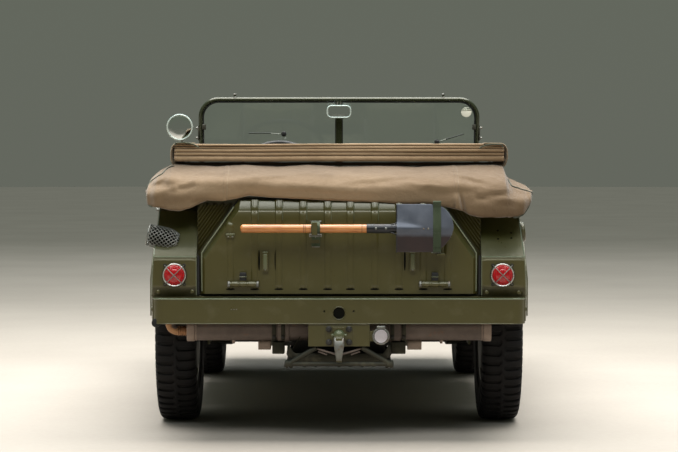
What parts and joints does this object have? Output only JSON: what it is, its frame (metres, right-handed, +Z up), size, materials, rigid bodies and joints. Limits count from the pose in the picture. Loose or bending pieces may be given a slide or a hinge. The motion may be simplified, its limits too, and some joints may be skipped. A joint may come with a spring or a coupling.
{
  "type": "army 4x4 car",
  "caption": "Open army 4x4 car with folded canvas top, rear engine lid, side doors, folding windshield, steered front wheels and tow hook; it carries passengers off road.",
  "frame": {"origin": "centre of the bounding box on the ground plane", "axes": "+Y towards the front of the car, +X to its right, +Z up"},
  "size_m": [1.598, 3.725, 1.3795],
  "materials": {
    "olive_paint": "semi-gloss",
    "tyre_rubber": "matt",
    "muffler_steel": "dull, weathered",
    "guard_paint": "satin",
    "engine_metal": "dull, oily",
    "axle_paint": "satin",
    "canvas": "matt woven",
    "seat_canvas": "matt woven",
    "glass": "clear",
    "lamp_red": "gloss lens in painted ring",
    "lamp_clear": "clear lens in painted ring",
    "black_plastic": "gloss",
    "mirror": "polished",
    "shovel_steel": "satin",
    "shovel_wood": "varnished"
  },
  "bodies": {
    "chassis": {"floor_pan": "olive_paint", "rear_tub": "olive_paint", "front_body": "olive_paint", "side_left": "olive_paint", "side_right": "olive_paint", "rear_body": "olive_paint", "rear_bumper": "olive_paint", "front_bumper": "olive_paint", "dashboard": "olive_paint", "engine": "engine_metal", "exhaust": "muffler_steel", "exhaust_guard": "guard_paint", "skid_frame": "axle_paint", "tow_hitch": "olive_paint", "rear_lamps": "lamp_red", "headlamps": "lamp_clear", "front_axle": "axle_paint", "rear_axle": "axle_paint", "seats": "seat_canvas", "seat_frames": "olive_paint", "top_bows": "olive_paint", "top_stack": "canvas", "top_drape": "canvas", "control_levers": "black_plastic"},
    "engine_lid": {"engine_lid": "olive_paint", "lid_fittings": "olive_paint", "shovel_handle": "shovel_wood", "shovel_blade": "shovel_steel"},
    "hood": {"hood": "olive_paint"},
    "door_left": {"door_left": "olive_paint"},
    "door_right": {"door_right": "olive_paint"},
    "windshield": {"windshield_frame": "olive_paint", "windshield_glass": "glass", "mirrors": "mirror"},
    "steering_wheel": {"steering_wheel": "black_plastic"},
    "knuckle_left": {"knuckle_left": "axle_paint"},
    "knuckle_right": {"knuckle_right": "axle_paint"},
    "wheel_fl": {"tyre_fl": "tyre_rubber", "rim_fl": "olive_paint"},
    "wheel_fr": {"tyre_fr": "tyre_rubber", "rim_fr": "olive_paint"},
    "wheel_rl": {"tyre_rl": "tyre_rubber", "rim_rl": "olive_paint"},
    "wheel_rr": {"tyre_rr": "tyre_rubber", "rim_rr": "olive_paint"}
  },
  "joints": [
    {"name": "wheel_rl_spin", "type": "hinge", "parent": "chassis", "child": "wheel_rl", "pos_m": [-0.6575, -1.01, 0.361], "axis": [1, 0, 0], "continuous": true},
    {"name": "wheel_rr_spin", "type": "hinge", "parent": "chassis", "child": "wheel_rr", "pos_m": [0.6575, -1.01, 0.361], "axis": [1, 0, 0], "continuous": true},
    {"name": "steer_left", "type": "hinge", "parent": "chassis", "child": "knuckle_left", "pos_m": [-0.552, 1.05, 0.361], "axis": [0, 0, 1], "range_deg": [-28, 28]},
    {"name": "steer_right", "type": "hinge", "parent": "chassis", "child": "knuckle_right", "pos_m": [0.552, 1.05, 0.361], "axis": [0, 0, 1], "range_deg": [-28, 28]},
    {"name": "steering_wheel_turn", "type": "hinge", "parent": "chassis", "child": "steering_wheel", "pos_m": [-0.274, -0.03, 0.994], "axis": [0, -0.8192, 0.5736], "range_deg": [-392.5, 392.5]},
    {"name": "wheel_fl_spin", "type": "hinge", "parent": "knuckle_left", "child": "wheel_fl", "pos_m": [-0.6575, 1.05, 0.361], "axis": [1, 0, 0], "continuous": true},
    {"name": "wheel_fr_spin", "type": "hinge", "parent": "knuckle_right", "child": "wheel_fr", "pos_m": [0.6575, 1.05, 0.361], "axis": [1, 0, 0], "continuous": true},
    {"name": "door_left_swing", "type": "hinge", "parent": "chassis", "child": "door_left", "pos_m": [-0.788, 0.432, 0.6], "axis": [0, 0, -1], "range_deg": [0, 65]},
    {"name": "door_right_swing", "type": "hinge", "parent": "chassis", "child": "door_right", "pos_m": [0.788, 0.432, 0.6], "axis": [0, 0, 1], "range_deg": [0, 65]},
    {"name": "windshield_fold", "type": "hinge", "parent": "chassis", "child": "windshield", "pos_m": [0, 0.4, 0.975], "axis": [1, 0, 0], "range_deg": [-92, 0]},
    {"name": "hood_lift", "type": "hinge", "parent": "chassis", "child": "hood", "pos_m": [0, 0.65, 0.93], "axis": [1, 0, 0], "range_deg": [0, 55]},
    {"name": "engine_lid_drop", "type": "hinge", "parent": "chassis", "child": "engine_lid", "pos_m": [0, -1.79, 0.603], "axis": [1, 0, 0], "range_deg": [0, 90]}
  ],
  "couplings": [
    {"joint": "steer_right", "follows": "steer_left", "ratio": 1},
    {"joint": "steering_wheel_turn", "follows": "steer_left", "ratio": 14}
  ]
}
